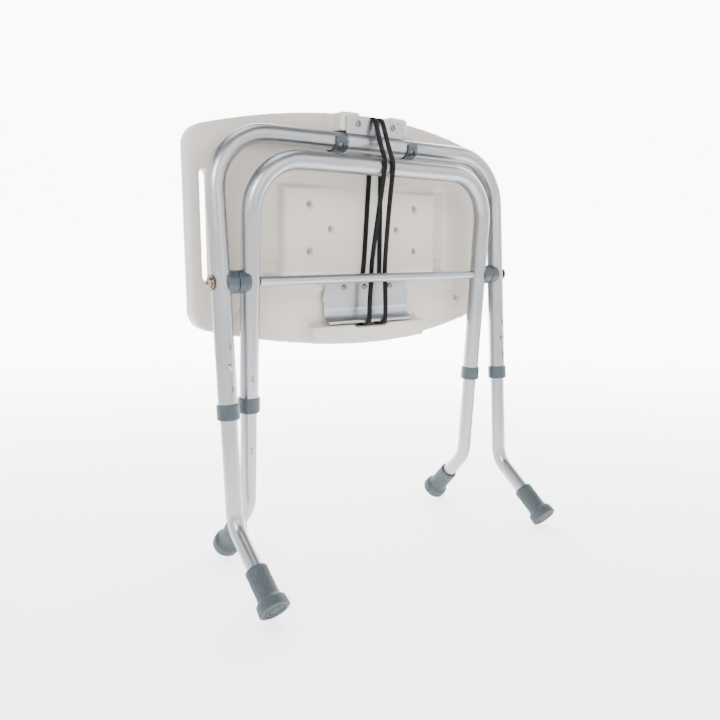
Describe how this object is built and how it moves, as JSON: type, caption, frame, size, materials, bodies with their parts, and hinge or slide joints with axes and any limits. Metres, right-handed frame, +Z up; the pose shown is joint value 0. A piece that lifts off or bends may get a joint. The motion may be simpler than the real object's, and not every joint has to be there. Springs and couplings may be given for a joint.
{
  "type": "folding shower stool",
  "caption": "Folding shower stool: crossed aluminium frames on one pivot rod, height-adjustable legs with rubber tips and a moulded seat.",
  "frame": {"origin": "middle of the footprint on the floor, with the stool folded and standing on its four tips", "axes": "+Z up, +X along the cross rod, the underside of the folded seat faces -Y"},
  "size_m": [0.543, 0.2466, 0.6391],
  "materials": {
    "frame_tube": "satin anodised, fine drawn grain",
    "bracket": "satin rolled sheet",
    "fastener": "bright zinc plating",
    "snap_spring": "bright spring steel",
    "plastic": "moulded blue-grey plastic, fine sheen",
    "tip_rubber": "matt moulded rubber",
    "seat_plastic": "warm off-white blow-moulded polyethylene, satin",
    "elastic": "black woven elastic"
  },
  "bodies": {
    "hinge_rod": {"cross_rod": "frame_tube", "pivot_bolt_left": "fastener", "pivot_bolt_right": "fastener", "pivot_washer_left": "fastener", "pivot_washer_right": "fastener"},
    "outer_frame": {"outer_frame_tube": "frame_tube", "outer_spacer_left": "plastic", "outer_spacer_right": "plastic", "outer_collar_left": "plastic", "outer_collar_right": "plastic", "bar_clip_left": "plastic", "bar_clip_right": "plastic"},
    "inner_frame": {"inner_frame_tube": "frame_tube", "inner_spacer_left": "plastic", "inner_spacer_right": "plastic", "inner_collar_left": "plastic", "inner_collar_right": "plastic"},
    "outer_left_leg": {"outer_leg_left": "frame_tube", "outer_tip_left": "tip_rubber"},
    "outer_left_button": {"outer_snap_left": "snap_spring"},
    "outer_right_leg": {"outer_leg_right": "frame_tube", "outer_tip_right": "tip_rubber"},
    "outer_right_button": {"outer_snap_right": "snap_spring"},
    "inner_left_leg": {"inner_leg_left": "frame_tube", "inner_tip_left": "tip_rubber"},
    "inner_left_button": {"inner_snap_left": "snap_spring"},
    "inner_right_leg": {"inner_leg_right": "frame_tube", "inner_tip_right": "tip_rubber"},
    "inner_right_button": {"inner_snap_right": "snap_spring"},
    "saddle": {"saddle_bracket": "bracket", "saddle_screws": "fastener"},
    "elastic_loops": {"elastic_loop_left": "elastic", "elastic_loop_right": "elastic"},
    "seat": {"seat": "seat_plastic", "trough_bracket": "bracket", "trough_screws": "fastener"}
  },
  "joints": [
    {"name": "frame_fold", "type": "hinge", "parent": "hinge_rod", "child": "outer_frame", "pos_m": [0, 0.01184, 0.40723], "axis": [1, 0, 0], "range_deg": [0, 52.75]},
    {"name": "inner_fold", "type": "hinge", "parent": "hinge_rod", "child": "inner_frame", "pos_m": [0, 0.01184, 0.40723], "axis": [-1, 0, 0], "range_deg": [0, 41.46]},
    {"name": "saddle_turn", "type": "hinge", "parent": "outer_frame", "child": "saddle", "pos_m": [0, 0.02461, 0.5965], "axis": [1, 0, 0], "range_deg": [0, 37.25]},
    {"name": "loop_turn", "type": "hinge", "parent": "inner_frame", "child": "elastic_loops", "pos_m": [0, 0.0006, 0.56373], "axis": [1, 0, 0], "range_deg": [0, 131.46], "deforming": ["elastic_loop_left", "elastic_loop_right"]},
    {"name": "seat_shift", "type": "slide", "parent": "elastic_loops", "child": "seat", "axis": [0, -0.1162, 0.9932], "range_m": [0, 0.20673]},
    {"name": "outer_left_height", "type": "slide", "parent": "outer_frame", "child": "outer_left_leg", "axis": [0, -0.0673, -0.9977], "range_m": [-0.0275, 0.0275], "deforming": ["outer_snap_left"]},
    {"name": "outer_left_press", "type": "slide", "parent": "outer_left_leg", "child": "outer_left_button", "axis": [0, 0.9977, -0.0673], "range_m": [0, 0.005], "stiffness_N_per_m": 900, "springref_m": -0.003, "deforming": ["outer_snap_left"]},
    {"name": "outer_right_height", "type": "slide", "parent": "outer_frame", "child": "outer_right_leg", "axis": [0, -0.0673, -0.9977], "range_m": [-0.0275, 0.0275], "deforming": ["outer_snap_right"]},
    {"name": "outer_right_press", "type": "slide", "parent": "outer_right_leg", "child": "outer_right_button", "axis": [0, 0.9977, -0.0673], "range_m": [0, 0.005], "stiffness_N_per_m": 900, "springref_m": -0.003, "deforming": ["outer_snap_right"]},
    {"name": "inner_left_height", "type": "slide", "parent": "inner_frame", "child": "inner_left_leg", "axis": [0, 0.0717, -0.9974], "range_m": [-0.0275, 0.0275], "deforming": ["inner_snap_left"]},
    {"name": "inner_left_press", "type": "slide", "parent": "inner_left_leg", "child": "inner_left_button", "axis": [0, -0.9974, -0.0717], "range_m": [0, 0.005], "stiffness_N_per_m": 900, "springref_m": -0.003, "deforming": ["inner_snap_left"]},
    {"name": "inner_right_height", "type": "slide", "parent": "inner_frame", "child": "inner_right_leg", "axis": [0, 0.0717, -0.9974], "range_m": [-0.0275, 0.0275], "deforming": ["inner_snap_right"]},
    {"name": "inner_right_press", "type": "slide", "parent": "inner_right_leg", "child": "inner_right_button", "axis": [0, -0.9974, -0.0717], "range_m": [0, 0.005], "stiffness_N_per_m": 900, "springref_m": -0.003, "deforming": ["inner_snap_right"]}
  ],
  "couplings": [
    {"joint": "inner_fold", "follows": "frame_fold", "ratio": 0.78591},
    {"joint": "saddle_turn", "follows": "frame_fold", "ratio": 0.70625},
    {"joint": "loop_turn", "follows": "frame_fold", "ratio": 2.4922},
    {"joint": "seat_shift", "follows": "frame_fold", "m_per_rad": 0.22455}
  ]
}
